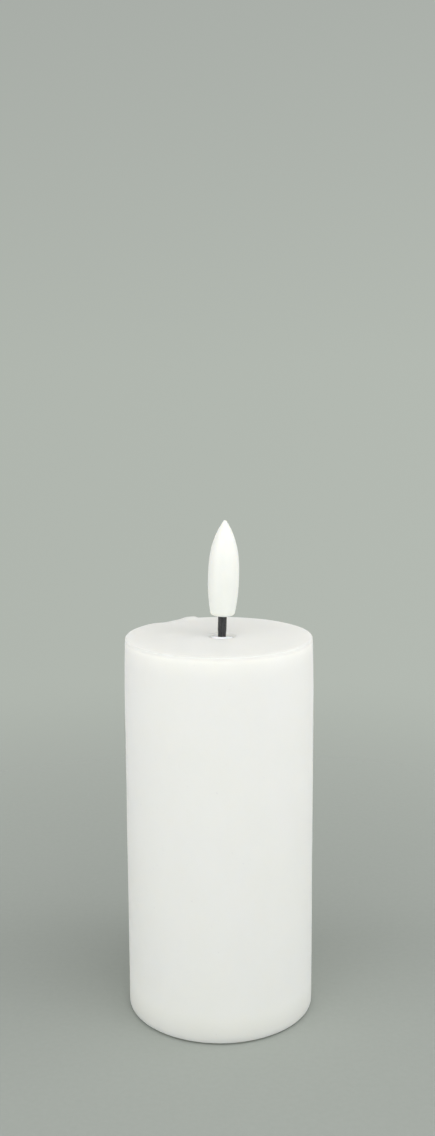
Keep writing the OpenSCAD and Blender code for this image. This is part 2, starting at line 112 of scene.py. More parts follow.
def revolve(name, outline, segments, place=None, closed=True):
    """A mesh turned from an outline of (r, z) points. place(r, z, angle) moves each point where it is wanted.
    An open outline starts and ends on the axis, where its ring is one point."""
    place = place or (lambda r, z, a: Vector((r * math.cos(a), r * math.sin(a), z)))
    turn = sum(r0 * z1 - r1 * z0 for (r0, z0), (r1, z1) in zip(outline, outline[1:] + outline[:1]))
    if turn < 0:  # the faces look outwards when the outline runs anticlockwise
        outline = outline[::-1]
    vertices, rings = [], []
    for r, z in outline:
        angles = [0] if r == 0 else [2 * math.pi * k / segments for k in range(segments)]
        rings.append(range(len(vertices), len(vertices) + len(angles)))
        vertices += [place(r, z, a) for a in angles]
    pairs = list(zip(rings, rings[1:])) + ([(rings[-1], rings[0])] if closed else [])
    faces = []
    for lower, upper in pairs:
        for k in range(segments):
            corner = [lower[k % len(lower)], lower[(k + 1) % len(lower)],
                      upper[(k + 1) % len(upper)], upper[k % len(upper)]]
            faces.append(list(dict.fromkeys(corner)))
    return add_mesh(name, vertices, faces)


def add_mesh(name, vertices, faces, smooth=True):
    mesh = bpy.data.meshes.new(name)
    mesh.from_pydata(vertices, [], faces)
    mesh.validate()
    mesh.polygons.foreach_set("use_smooth", [smooth] * len(mesh.polygons))
    mesh.update()
    piece = bpy.data.objects.new(name, mesh)
    bpy.context.scene.collection.objects.link(piece)
    return piece


def stand_in(piece, body, *nodes):
    """The piece rides on the body and is shown in place of the CAD nodes."""
    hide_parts(*nodes)
    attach(piece, body)
    return piece


# ---- the wax pillar ----

NUB_HEIGHT = 0.45 * MM
NUB_ANGLES = (103.5, 106.5, 111, 118)  # where it starts, is full, begins to fall and ends, in degrees
DIP_DEPTH = 0.38 * MM
DIP_ANGLE = 127
DIP_WIDTH = 8


def rim_shape(angle):
    """Height of the cast rim over its level: a nub left by the pour at the back, and a dip beside it."""
    a = math.degrees(angle) % 360
    nub = smoothstep(NUB_ANGLES[0], NUB_ANGLES[1], a) * (1 - smoothstep(NUB_ANGLES[2], NUB_ANGLES[3], a))
    dip = math.exp(-((a - DIP_ANGLE) / DIP_WIDTH) ** 2)
    return NUB_HEIGHT * nub - DIP_DEPTH * dip


SKIRT = 0.12 * MM  # how far the wax hangs down outside the foot ring


def wax_outline():
    """Closed outline of the pillar's wall: from the hollow round the wick, over the outside, up the bore."""
    foot, top, seat = wax_low.z - SKIRT, PILLAR_TOP, SEAT.z
    step_r = foot_high.x + FIT
    top_round, bottom_round, lip = 0.35 * MM, 0.3 * MM, 0.35 * MM
    bore_r, bore_top = liner_high.x + FIT, liner_high.z + FIT
    recess_r, hole_r = FLANGE_R + FIT, 2.15 * MM
    recess_floor = seat - 0.85 * MM
    mouth_r = 3.6 * MM
    shoulder = PILLAR_R - top_round
    return [
        (recess_r, recess_floor), (recess_r, seat),
        *line(recess_r, seat, mouth_r, top - 0.2 * MM, 5),
        *arc(mouth_r + lip, top - lip, lip, 155, 90, 5),
        *line(mouth_r + lip, top, shoulder, top, 30),
        *arc(shoulder, top - top_round, top_round, 90, 0, 10),
        *line(PILLAR_R, top - top_round, PILLAR_R, foot + bottom_round, 84),
        *arc(PILLAR_R - bottom_round, foot + bottom_round, bottom_round, 0, -90, 6),
        *line(PILLAR_R - bottom_round, foot, step_r, foot, 3), (step_r, foot), (step_r, wax_low.z),
        (bore_r, wax_low.z), *line(bore_r, wax_low.z, bore_r, bore_top, 24), (bore_r, bore_top),
        *line(bore_r, bore_top, hole_r, bore_top, 12),
        (hole_r, bore_top), (hole_r, recess_floor),
    ]


CROWN_IN = 0.35 * MM  # how much narrower the wax has shrunk at its top, and over what height
CROWN_H = 18 * MM
DENT_MEAN = 0.06 * MM  # how far the outside lies inside the CAD's, and its long and short unevenness
DENT_WAVE = 0.07 * MM
DENT_RIPPLE = 0.015 * MM
TOP_SWELL = 0.05 * MM
GUTTER_DEPTH = 0.05 * MM  # faint ring just inside the rim, with its distance from the side and its width
GUTTER_IN = 1.75 * MM
GUTTER_WIDTH = 0.42 * MM


def place_wax(r, z, angle):
    """The pillar's own unevenness: a leaning hollow, a wavy rim and faint dents in the outside."""
    out = Vector((math.cos(angle), math.sin(angle), 0))
    p = out * r
    p.z = z
    p.x += on_wick_axis(z).x * (1 - smoothstep(5 * MM, 17 * MM, r))
    outside = smoothstep(22.2 * MM, 24 * MM, r)
    wave = noise.noise(Vector((out.x * 1.3, out.y * 1.3, z / MM * 0.035)))
    ripple = noise.noise(Vector((out.x * 7, out.y * 7, z / MM * 0.22)) + Vector((4.7, 1.9, 0)))
    crown = CROWN_IN * max(0, 1 - (PILLAR_TOP - z) / CROWN_H) ** 2
    p -= out * outside * (crown + (DENT_MEAN + DENT_WAVE * wave + DENT_RIPPLE * ripple))
    near_top = smoothstep(PILLAR_TOP - 3 * MM, PILLAR_TOP - 0.6 * MM, z)
    near_rim = smoothstep(PILLAR_R - 4.5 * MM, PILLAR_R - 1.6 * MM, r)
    p.z += near_top * near_rim * rim_shape(angle)
    flat = near_top * smoothstep(4 * MM, 8 * MM, r)
    swell = noise.noise(Vector((p.x, p.y, 0)) / MM * 0.11)
    gutter = math.exp(-((r - PILLAR_R + GUTTER_IN) / GUTTER_WIDTH) ** 2)
    p.z += flat * (TOP_SWELL * swell - GUTTER_DEPTH * gutter)
    return p


def wax_pillar():
    return stand_in(revolve("wax_pillar", wax_outline(), 256, place_wax), "root", "wax_shell")


# ---- wick and flame ----

def on_wick(r, z, angle):
    """A point turned about the wick's axis, at height z over the floor of the hollow."""
    return ON_WICK @ Vector((r * math.cos(angle), r * math.sin(angle), z))


FLAME_FOOT = (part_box("flame_bulb")[0].z - SEAT.z) / WICK_UP.z + 0.1 * MM
FLAME_LEN = (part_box("flame_bulb")[1].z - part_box("flame_bulb")[0].z) / WICK_UP.z - 0.09 * MM
FLAME_R = (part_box("flame_bulb")[1].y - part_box("flame_bulb")[0].y) / 2
FLAME_WIDEST = 9.5 * MM
FLAME_FOOT_R = 3.1 * MM


def flame_radius(z):
    """A shallow barrel below the widest height and a blunt ogive above."""
    if z < FLAME_WIDEST:
        return FLAME_R - (FLAME_R - FLAME_FOOT_R) * (1 - z / FLAME_WIDEST) ** 2
    return FLAME_R * (1 - ((z - FLAME_WIDEST) / (FLAME_LEN + 0.4 * MM - FLAME_WIDEST)) ** 2.8)


def flame_outline():
    """From the hollow's top pole down its wall, out under the foot, up the side and to the tip."""
    wall, grip, cavity_top = 1.5 * MM, 3 * MM, 21.5 * MM
    bore = WICK_R + 0.02 * MM
    foot_r, tip_r = 1.0 * MM, 0.55 * MM
    foot_lean, tip_lean = 11.3, 35.7
    foot_top = foot_r * (1 - math.sin(math.radians(foot_lean)))
    foot_x = flame_radius(foot_top) - foot_r * math.cos(math.radians(foot_lean))
    tip_z = FLAME_LEN - tip_r
    side_top = tip_z + tip_r * math.sin(math.radians(tip_lean))
    cavity = [cavity_top + (grip - cavity_top) * i / 24 for i in range(25)]
    side = [foot_top + (side_top - foot_top) * i / 70 for i in range(1, 70)]
    points = [
        (0, cavity_top + 0.4 * MM), *[(flame_radius(z) - wall, z) for z in cavity],
        (bore, grip), *line(bore, grip, bore, 0, 3), (bore, 0.12 * MM), (bore + 0.12 * MM, 0),
        *arc(foot_x, foot_r, foot_r, -90, -foot_lean, 8),
        *[(flame_radius(z), z) for z in side],
        *arc(0, tip_z, tip_r, tip_lean, 90, 8)[:-1], (0, FLAME_LEN),
    ]
    return [(r, z + FLAME_FOOT) for r, z in points]


def flame():
    piece = revolve("flame", flame_outline(), 96, on_wick, closed=False)
    return stand_in(piece, "root", "flame_bulb")


def wick():
    """Heat-shrunk sleeve: fullest where it shows, with its bore open at both ends."""
    low = (WICK_BOTTOM - SEAT).length
    high = (WICK_TOP - SEAT).length
    thickness, steps = 0.35 * MM, 90
    bore = WICK_R - thickness
    neck_z, neck, full = 1.3 * MM, 0.02 * MM, 0.07 * MM
    heights = [-low + (high + low) * i / steps for i in range(steps + 1)]
    def wall(z):
        shown = smoothstep(neck_z, 2 * neck_z, z) * (1 - smoothstep(FLAME_FOOT - 0.1 * MM, FLAME_FOOT, z))
        return WICK_R + full * shown - neck * (1 - smoothstep(neck_z * 0.6, neck_z * 1.3, z))

    outline = [(wall(z), z) for z in heights]
    outline += [(bore, high), *line(bore, high, bore, -low, 8), (bore, -low)]

    def place(r, z, angle):
        shrink = noise.noise(Vector((math.cos(angle) * 2, math.sin(angle) * 2, z / MM * 0.5)))
        return on_wick(r - (0.008 * MM * (1 + shrink) if r > bore else 0), z, angle)

    return stand_in(revolve("wick", outline, 48, place), "root", "wick_tube")


PLUG_LIFT_BACK = 0.15 * MM  # how far the crooked plug stands off the hollow's floor
PLUG_LIFT_FRONT = 0.83 * MM


def ferrule():
    """White plug that the wick comes out of: a flange on a sleeve, with a low collar round the wick.
    It sits crooked in the hollow: nearly flush with the wax at the front and sunk at the back."""
    low = (flange_low.z - SEAT.z) / WICK_UP.z
    sleeve_r, bore, flange_h, edge = 2.1 * MM, WICK_R + FIT, 0.8 * MM, 0.12 * MM
    collar_r, collar_foot, dish = 1.75 * MM, 0.25 * MM, 0.1 * MM
    outline = [
        (bore, -edge * 0.4), *arc(bore + edge, -edge, edge, 150, 90, 3),
        *arc(collar_r, -edge, edge, 90, 20, 3), (collar_r + collar_foot, -dish - edge * 0.5),
        *line(collar_r + collar_foot, -dish, FLANGE_R - edge, -dish * 0.5, 4),
        *arc(FLANGE_R - edge, -dish * 0.5 - edge, edge, 90, 0, 4),
        (FLANGE_R, -flange_h), (sleeve_r, -flange_h),
        *line(sleeve_r, -flange_h, sleeve_r, low, 6), (sleeve_r, low), (bore, low),
        *line(bore, low, bore, 0, 6),
    ]

    def place(r, z, angle):
        raised = smoothstep(-flange_h, -0.4 * flange_h, z)
        forward = (1 - math.sin(angle) * r / FLANGE_R) / 2
        return on_wick(r, z + raised * (PLUG_LIFT_BACK + (PLUG_LIFT_FRONT - PLUG_LIFT_BACK) * forward), angle)

    return stand_in(revolve("ferrule", outline, 72, place), "root", "wick_ferrule")


# ---- underside ----

def foot():
    """Ring that the candle stands on, with its mould's rounded edges."""
    outer, inner = foot_high.x, min(abs(v.co.xy.length) for v in NODES["foot_ring"].data.vertices)
    low, high, edge = foot_low.z, foot_high.z, 0.18 * MM
    outline = [
        *arc(outer - edge, low + edge, edge, -90, 0, 4), (outer, high), (inner, high),
        *arc(inner + edge, low + edge, edge, 180, 270, 4),
        *line(inner + edge, low, outer - edge, low, 4),
    ]
    return stand_in(revolve("foot", outline, 160), "root", "foot_ring")


MARK_HEIGHT = 0.18 * MM
MARK_ROOT = 0.05 * MM  # how far the marks reach into the floor that they stand on


def raised_mark(name, outlines, centre):
    """Moulded marks on the case floor's underside. Each outline is a pair: the closed list of its (x, y)
    points in millimetres, and the same for its hole, or None where it has no hole."""
    face_z = case_low.z
    vertices, faces = [], []
    for outer, hole in outlines:
        loops = [outer] if hole is None else [outer, hole]
        base = len(vertices)
        n = len(outer)
        for loop in loops:
            for z in (face_z + MARK_ROOT, face_z - MARK_HEIGHT):
                vertices += [Vector((centre[0] + x * MM, centre[1] + y * MM, z)) for x, y in loop]
        walls = [(base, base + n)] if hole is None else [(base, base + n), (base + 3 * n, base + 2 * n)]
        for top, bottom in walls:
            faces += [[top + (k + 1) % n, top + k, bottom + k, bottom + (k + 1) % n] for k in range(n)]
        if hole is None:
            faces += [[base + k for k in range(n)], [base + n + k for k in reversed(range(n))]]
        else:
            for a, b in ((base, base + 2 * n), (base + 3 * n, base + n)):
                faces += [[a + k, a + (k + 1) % n, b + (k + 1) % n, b + k] for k in range(n)]
    piece = add_mesh(name, vertices, faces, smooth=False)
    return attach(piece, "root")


def circle_points(r, n=32):
    return [(r * math.cos(2 * math.pi * k / n), r * math.sin(2 * math.pi * k / n)) for k in range(n)]


def bar_points(x0, y0, x1, y1):
    return [(x0, y0), (x1, y0), (x1, y1), (x0, y1)]


def switch_marks():
    """On, off and timer signs beside the switch, one for each of its positions."""
    gap, step = 1.9 * MM, 3.1 * MM
    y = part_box("switch_slider")[1].y + gap
    bar = (bar_points(-0.15, -0.75, 0.15, 0.75), None)
    ring = (circle_points(0.8), circle_points(0.55))
    hands = [(bar_points(-0.1, -0.1, 0.1, 0.42), None), (bar_points(0.12, -0.1, 0.38, 0.1), None)]
    return [
        raised_mark("mark_on", [bar], (step, y)),
        raised_mark("mark_off", [ring], (0, y)),
        raised_mark("mark_timer", [ring, *hands], (-step, y)),
    ]


# ---- material building ----

class Surface:
    """A Principled material and the nodes that feed it. Object coordinates are metres in the frame."""

    def __init__(self, name, sockets):
        self.material = bpy.data.materials.new(name)
        self.material.use_nodes = True
        self.tree = self.material.node_tree
        self.shader = self.tree.nodes["Principled BSDF"]
        self.place = self.node("ShaderNodeTexCoord").outputs["Object"]
        for socket, value in sockets.items():
            self.shader.inputs[socket].default_value = value
        self.last_normal = None

    def node(self, kind, sockets=None, **settings):
        made = self.tree.nodes.new(kind)
        for setting, value in settings.items():
            setattr(made, setting, value)
        for socket, value in (sockets or {}).items():
            if isinstance(value, bpy.types.NodeSocket):
                self.tree.links.new(value, made.inputs[socket])
            else:
                made.inputs[socket].default_value = value
        return made

    def feed(self, socket, value):
        self.tree.links.new(value, self.shader.inputs[socket])

    def noise(self, size, detail=2, rough=0.5, stretch=(1, 1, 1), distortion=0):
        """Noise whose blotches are about `size` metres across, stretched along the axes."""
        vector = self.node("ShaderNodeMapping", {"Vector": self.place, "Scale": stretch})
        made = self.node("ShaderNodeTexNoise", {
            "Vector": vector.outputs["Vector"], "Scale": 1 / size, "Detail": detail,
            "Roughness": rough, "Distortion": distortion})
        return made.outputs["Fac"]

    def axis(self, name):
        return self.node("ShaderNodeSeparateXYZ", {"Vector": self.place}).outputs[name]

    def maths(self, operation, a, b):
        return self.node("ShaderNodeMath", {0: a, 1: b}, operation=operation).outputs["Value"]

    def spread(self, value, low, high, to_low=0.0, to_high=1.0):
        """Maps low..high of a value to to_low..to_high, smoothly, held at both ends."""
        made = self.node("ShaderNodeMapRange", {
            "Value": value, "From Min": low, "From Max": high, "To Min": to_low, "To Max": to_high},
            interpolation_type="SMOOTHSTEP")
        return made.outputs["Result"]

    def ramp(self, value, *stops):
        """Colours at places along 0..1 of a value."""
        made = self.node("ShaderNodeValToRGB", {"Fac": value})
        elements = made.color_ramp.elements
        while len(elements) < len(stops):
            elements.new(0.5)
        for element, (place, colour) in zip(elements, stops):
            element.position = place
            element.color = (*colour, 1)
        return made.outputs["Color"]

    def mix(self, factor, a, b):
        made = self.node("ShaderNodeMix", {"Factor": factor}, data_type="RGBA")
        for socket, value in ((made.inputs[6], a), (made.inputs[7], b)):
            if isinstance(value, bpy.types.NodeSocket):
                self.tree.links.new(value, socket)
            else:
                socket.default_value = (*value, 1)
        return made.outputs[2]

    def bump(self, height, depth):
        """Relief of `depth` metres over the height's 0..1. Later calls add to earlier ones."""
        sockets = {"Height": height, "Distance": depth, "Strength": 1.0}
        if self.last_normal is not None:
            sockets["Normal"] = self.last_normal
        self.last_normal = self.node("ShaderNodeBump", sockets).outputs["Normal"]
        self.feed("Normal", self.last_normal)


RIM_SHADE_DOWN = 1.2 * MM  # how far the painted shade on the rim's edge reaches down the side, and in over the top
RIM_SHADE_IN = 0.9 * MM
RIM_SHADE = 0.19  # how much painted shade darkens the rim's edge and the wax next to the floor, chosen to match tones
FOOT_SHADE = 0.12


def wax():
    s = Surface("ivory_wax", {
        "Subsurface Weight": 1.0, "Subsurface Radius": (1.0, 0.96, 0.9), "Subsurface Scale": 4 * MM,
        "IOR": 1.44, "Specular IOR Level": 0.35})
    cloud = s.noise(16 * MM, detail=3, rough=0.55, stretch=(1, 1, 0.6))
    speck = s.noise(1.1 * MM, detail=2)
    colour = s.ramp(cloud, (0.3, (0.927, 0.925, 0.855)), (0.7, (0.947, 0.945, 0.877)))
    colour = s.mix(s.spread(speck, 0.72, 0.8), colour, (0.87, 0.865, 0.82))
    level = s.node("ShaderNodeVectorMath", {0: s.place, 1: (1, 1, 0)}, operation="MULTIPLY")
    radius = s.node(
        "ShaderNodeVectorMath", {0: level.outputs["Vector"]}, operation="LENGTH").outputs["Value"]
    # Painted shade: darkens the rim's edge and the wax next to the floor towards a dark blue-grey.
    near_top = s.spread(s.axis("Z"), PILLAR_TOP - RIM_SHADE_DOWN, PILLAR_TOP - 0.1 * MM)
    near_side = s.spread(radius, PILLAR_R - RIM_SHADE_IN, PILLAR_R - 0.5 * MM)
    rim_shade_mask = s.maths("MULTIPLY", near_top, near_side)
    # Painted shade on the lowest 8 mm of the wax, next to the floor.
    foot = s.spread(s.axis("Z"), wax_low.z, wax_low.z + 8 * MM, FOOT_SHADE, 0)
    rim_and_foot_shade = s.maths("MAXIMUM", s.maths("MULTIPLY", rim_shade_mask, RIM_SHADE), foot)
    s.feed("Base Color", s.mix(rim_and_foot_shade, colour, (0, 0, 0.1)))
    s.feed("Roughness", s.spread(s.noise(5 * MM, detail=4), 0.3, 0.7, 0.42, 0.56))
    pits = s.node("ShaderNodeTexVoronoi", {"Vector": s.place, "Scale": 1 / (13 * MM), "Randomness": 1.0})
    s.bump(s.spread(pits.outputs["Distance"], 0.0, 0.022), 0.05 * MM)
    s.bump(s.noise(7 * MM, detail=3, stretch=(1, 1, 0.7)), 0.12 * MM)
    s.bump(s.noise(0.5 * MM, detail=3, rough=0.6), 0.006 * MM)
    return s.material


def frosted_plastic():
    s = Surface("milky_diffuser", {
        "Subsurface Weight": 0.85, "Subsurface Radius": (1.0, 0.95, 0.85), "Subsurface Scale": 1.2 * MM,
        "IOR": 1.49, "Specular IOR Level": 0.5})
    low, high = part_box("flame_bulb")
    cloud = s.noise(4 * MM, detail=2)
    # Painted shade and light: the colour is darker towards the diffuser's foot and lighter towards its tip.
    low_shaded_tone = s.ramp(cloud, (0.3, (0.80, 0.82, 0.79)), (0.7, (0.82, 0.84, 0.81)))
    high_lit_tone = s.ramp(cloud, (0.3, (0.885, 0.895, 0.85)), (0.7, (0.90, 0.91, 0.865)))
    s.feed("Base Color", s.mix(s.spread(s.axis("Z"), low.z, high.z - 5 * MM), low_shaded_tone, high_lit_tone))
    s.feed("Roughness", s.spread(s.noise(1.5 * MM, detail=3), 0.3, 0.7, 0.34, 0.44))
    s.bump(s.noise(0.25 * MM, detail=2), 0.003 * MM)
    return s.material


def sleeve_rubber():
    s = Surface("black_sleeve", {"Specular IOR Level": 0.5, "IOR": 1.5})
    ribs = s.noise(0.45 * MM, detail=2, stretch=(1, 1, 0.08))
    s.feed("Base Color", s.ramp(ribs, (0.35, (0.008, 0.009, 0.01)), (0.65, (0.034, 0.037, 0.04))))
    s.feed("Roughness", s.spread(s.noise(0.8 * MM, detail=3, stretch=(1, 1, 0.3)), 0.3, 0.7, 0.2, 0.32))
    s.bump(ribs, 0.03 * MM)
    return s.material


def moulded(name, dark, light, rough=(0.38, 0.5), soft=0.0):
    """Injection-moulded plastic: a fine spark-eroded grain, faint flow marks and uneven polish."""
    s = Surface(name, {"IOR": 1.5, "Subsurface Weight": soft, "Subsurface Scale": 0.6 * MM})
    flow = s.noise(9 * MM, detail=3, rough=0.6, distortion=0.8)
    s.feed("Base Color", s.ramp(flow, (0.3, dark), (0.7, light)))
    s.feed("Roughness", s.spread(s.noise(2.5 * MM, detail=4), 0.3, 0.7, *rough))
    s.bump(s.noise(0.2 * MM, detail=2, rough=0.6), 0.004 * MM)
    return s.material


def plated(name, dark, light, rough=(0.2, 0.36)):
    """Plated metal: an uneven polish, with slightly tarnished patches."""
    s = Surface(name, {"Metallic": 1.0})
    patch = s.noise(1.8 * MM, detail=4, rough=0.6)
    s.feed("Base Color", s.ramp(patch, (0.32, dark), (0.68, light)))
    s.feed("Roughness", s.spread(s.noise(0.9 * MM, detail=3), 0.3, 0.7, *rough))
    s.bump(s.noise(1.2 * MM, detail=0), 0.004 * MM)
    return s.material


def insulation(name, dark, light):
    """Extruded PVC: faint rings of uneven pull and a soft gloss."""
    s = Surface(name, {"IOR": 1.53})
    s.feed("Base Color", s.ramp(s.noise(2 * MM, detail=2), (0.3, dark), (0.7, light)))
    s.feed("Roughness", s.spread(s.noise(1.2 * MM, detail=3), 0.3, 0.7, 0.28, 0.4))
    s.bump(s.noise(0.5 * MM, detail=1, stretch=(0.4, 0.4, 2)), 0.004 * MM)
    return s.material


def cell_film():
    """Shrunk film on a cell: a coppery band at the button end of a dark wrap, with a hairline between."""
    s = Surface("cell_film", {"Coat Weight": 0.5, "Coat Roughness": 0.12})
    height = s.axis("Z")
    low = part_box("battery_left_sleeve")[0].z
    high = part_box("battery_left_sleeve")[1].z
    share = s.spread(height, low, high)
    wave = s.noise(6 * MM, detail=1, stretch=(1, 1, 0.3))
    band = s.ramp(share, (0.0, (0.02, 0.055, 0.06)), (0.62, (0.03, 0.085, 0.09)),
                  (0.7, (0.55, 0.56, 0.55)), (0.715, (0.5, 0.26, 0.12)), (1.0, (0.62, 0.34, 0.16)))
    s.feed("Base Color", s.mix(s.spread(wave, 0.35, 0.65, 0.0, 0.12), band, (0.02, 0.03, 0.03)))
    s.feed("Roughness", s.spread(s.noise(3 * MM), 0.3, 0.7, 0.24, 0.36))
    s.bump(s.noise(1.5 * MM, detail=2), 0.008 * MM)
    return s.material


def board_laminate():
    """Green solder mask over copper tracks, with the bare glass cloth showing as a faint weave."""
    s = Surface("board_laminate", {"Coat Weight": 0.35, "Coat Roughness": 0.15})
    tracks = s.node("ShaderNodeTexBrick", {
        "Vector": s.place, "Scale": 1 / (4.6 * MM), "Mortar Size": 0.045, "Mortar Smooth": 0.4,
        "Brick Width": 0.7, "Row Height": 0.36}, offset=0.37, offset_frequency=3)
    weave = s.node("ShaderNodeTexWave", {"Vector": s.place, "Scale": 1 / (1.6 * MM), "Distortion": 1.0})
    mask = s.ramp(weave.outputs["Fac"], (0.0, (0.012, 0.115, 0.05)), (1.0, (0.018, 0.15, 0.066)))
    s.feed("Base Color", s.mix(tracks.outputs["Fac"], mask, (0.05, 0.27, 0.11)))
    s.feed("Roughness", s.spread(s.noise(2 * MM), 0.3, 0.7, 0.28, 0.42))
    s.bump(tracks.outputs["Fac"], 0.03 * MM)
    return s.material


def led_epoxy():
    s = Surface("led_epoxy", {
        "Transmission Weight": 0.35, "IOR": 1.5, "Subsurface Weight": 0.5, "Subsurface Scale": 0.5 * MM})
    s.feed("Base Color", s.ramp(s.noise(1 * MM), (0.3, (0.9, 0.84, 0.56)), (0.7, (0.96, 0.92, 0.7))))
    s.feed("Roughness", s.spread(s.noise(0.6 * MM), 0.3, 0.7, 0.08, 0.18))
    s.bump(s.noise(0.5 * MM), 0.003 * MM)
    return s.material


def capacitor_can():
    """Aluminium can with the dark sector that marks its negative side."""
    s = Surface("capacitor_can", {"Metallic": 0.85})
    low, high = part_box("buffer_capacitor")
    sector = s.spread(s.axis("X"), (low.x + high.x) / 2 + 0.95 * MM, (low.x + high.x) / 2 + 1.0 * MM)
    can = s.ramp(s.noise(1.2 * MM, stretch=(1, 1, 4)), (0.3, (0.6, 0.61, 0.63)), (0.7, (0.74, 0.75, 0.77)))
    base = s.spread(s.axis("Z"), low.z + 0.8 * MM, low.z + 0.85 * MM)
    upper = s.mix(sector, can, (0.02, 0.03, 0.05))
    s.feed("Base Color", s.mix(base, (0.015, 0.015, 0.017), upper))
    s.feed("Roughness", s.spread(s.noise(0.9 * MM), 0.3, 0.7, 0.25, 0.4))
    s.bump(s.noise(0.3 * MM, stretch=(1, 1, 5)), 0.004 * MM)
    return s.material


FLOOR_DARK = (0.364, 0.391, 0.364)
FLOOR_LIGHT = (0.378, 0.405, 0.378)
FLOOR_LIT_BACK_DARK = (0.393, 0.422, 0.393)
FLOOR_LIT_BACK_LIGHT = (0.408, 0.437, 0.408)
LIT_BACK = (0.02, 0.07)  # where painted light makes the paper lighter behind the candle, to match tones, in metres
FADE_FROM = 0.04
FADE_TO = 0.36


def floor_paper():
    """Matt sage-grey paper, with painted light making it lighter behind the candle, that fades out towards
    the horizon and isn't there from below.
    """
    s = Surface("floor_paper", {"Roughness": 0.9, "Specular IOR Level": 0.15})
    fibres = s.noise(1.5 * MM, detail=4, rough=0.6)
    paper = s.ramp(fibres, (0.3, FLOOR_DARK), (0.7, FLOOR_LIGHT))
    # Painted light: the paper's colour is lighter behind the candle.
    lit_behind = s.spread(s.axis("Y"), *LIT_BACK)
    lit_back_paper = s.ramp(fibres, (0.3, FLOOR_LIT_BACK_DARK), (0.7, FLOOR_LIT_BACK_LIGHT))
    s.feed("Base Color", s.mix(lit_behind, paper, lit_back_paper))
    s.bump(fibres, 0.02 * MM)
    distance = s.node("ShaderNodeVectorMath", {0: s.place}, operation="LENGTH").outputs["Value"]
    gone = s.spread(distance, FADE_FROM, FADE_TO)
    below = s.node("ShaderNodeNewGeometry").outputs["Backfacing"]
    clear = s.node("ShaderNodeBsdfTransparent").outputs["BSDF"]
    blend = s.node("ShaderNodeMixShader", {
        0: s.maths("MAXIMUM", gone, below), 1: s.shader.outputs["BSDF"], 2: clear})
    s.tree.links.new(blend.outputs["Shader"], s.tree.nodes["Material Output"].inputs["Surface"])
    return s.material


# ---- pieces and their materials ----

def paint(piece, material):
    piece.data.materials.clear()
    piece.data.materials.append(material)


def soften(node, width=0.12 * MM):
    """Rounds the sharp edges of a CAD node that stays."""
    piece = NODES[node]
    weld = piece.modifiers.new("weld", "WELD")
    weld.merge_threshold = 0.001 * MM
    flat = piece.modifiers.new("flat", "DECIMATE")
    flat.decimate_type = "DISSOLVE"
    flat.angle_limit = math.radians(0.5)
    bevel = piece.modifiers.new("bevel", "BEVEL")
    bevel.width = width
    bevel.segments = 2
    bevel.limit_method = "ANGLE"
    bevel.angle_limit = math.radians(40)
    bevel.use_clamp_overlap = False


def dress():
    """Builds the finer pieces and gives every shown piece its material."""
    white = moulded("white_moulding", (0.80, 0.80, 0.775), (0.84, 0.84, 0.82), soft=0.15)
    grey = moulded("pale_grey_moulding", (0.70, 0.70, 0.68), (0.74, 0.74, 0.72))
    cool = moulded(
        "cool_white_moulding", (0.92, 0.95, 0.97), (0.94, 0.97, 0.99), rough=(0.24, 0.34), soft=0.2)
    black = moulded("black_moulding", (0.012, 0.012, 0.014), (0.02, 0.02, 0.022), rough=(0.4, 0.55))
    chip = moulded("chip_moulding", (0.02, 0.02, 0.022), (0.032, 0.032, 0.034), rough=(0.5, 0.62))
    brown = moulded("phenolic_board", (0.10, 0.05, 0.022), (0.15, 0.08, 0.036), rough=(0.4, 0.55))
    nickel = plated("nickel_plate", (0.60, 0.58, 0.54), (0.74, 0.72, 0.68))
    tin = plated("tin_plate", (0.56, 0.57, 0.58), (0.70, 0.71, 0.72), rough=(0.24, 0.4))
    zinc = plated("zinc_plate", (0.50, 0.51, 0.53), (0.66, 0.67, 0.69), rough=(0.3, 0.46))
    can = plated("cell_can", (0.58, 0.58, 0.58), (0.72, 0.72, 0.72), rough=(0.16, 0.28))
    red = insulation("red_insulation", (0.40, 0.012, 0.01), (0.52, 0.02, 0.016))
    dark = insulation("black_insulation", (0.01, 0.01, 0.011), (0.02, 0.02, 0.021))
    film = cell_film()

    paint(wax_pillar(), wax())
    paint(flame(), frosted_plastic())
    paint(wick(), sleeve_rubber())
    paint(ferrule(), cool)
    paint(foot(), grey)
    for mark in switch_marks():
        paint(mark, white)

    finishes = {
        white: ("inner_liner", "ferrule_nut", "battery_case", "battery_door"),
        black: ("switch_slider", "switch_lever"),
        chip: ("control_chip", "chip_resistors"),
        brown: ("switch_base",),
        nickel: ("door_contact", "door_spring", "positive_contact", "negative_contact",
                 "negative_spring", "timing_crystal", "switch_frame"),
        tin: ("led_leads", "chip_legs", "switch_pins"),
        zinc: ("case_screws", "board_screws"),
        can: ("battery_left", "battery_right"),
        film: ("battery_left_sleeve", "battery_right_sleeve"),
        red: ("red_battery_wire", "red_led_wire"),
        dark: ("black_battery_wire", "black_led_wire"),
        board_laminate(): ("circuit_board",),
        led_epoxy(): ("flame_led",),
        capacitor_can(): ("buffer_capacitor",),
    }
    for material, nodes in finishes.items():
        for node in nodes:
            paint(NODES[node], material)
    for node in ("battery_case", "battery_door", "switch_slider", "case_screws"):
        soften(node)


# ---- stage, light and camera ----

def disc(name, radius):
    rim = [Vector((x, y, 0)) for x, y in circle_points(radius, 128)]
    return add_mesh(name, rim, [list(range(len(rim)))], smooth=False)


def softbox(name, place, target, size, energy):
    data = bpy.data.lights.new(name, "AREA")
    data.shape = "RECTANGLE"
    data.size, data.size_y = size
    data.energy = energy
    light = bpy.data.objects.new(name, data)
    light.location = place
    light.rotation_euler = (Vector(target) - Vector(place)).to_track_quat("-Z", "Y").to_euler()
    light.visible_camera = False
    bpy.context.scene.collection.objects.link(light)
    return light


LIGHT_AIM = (0, 0, 0.07)
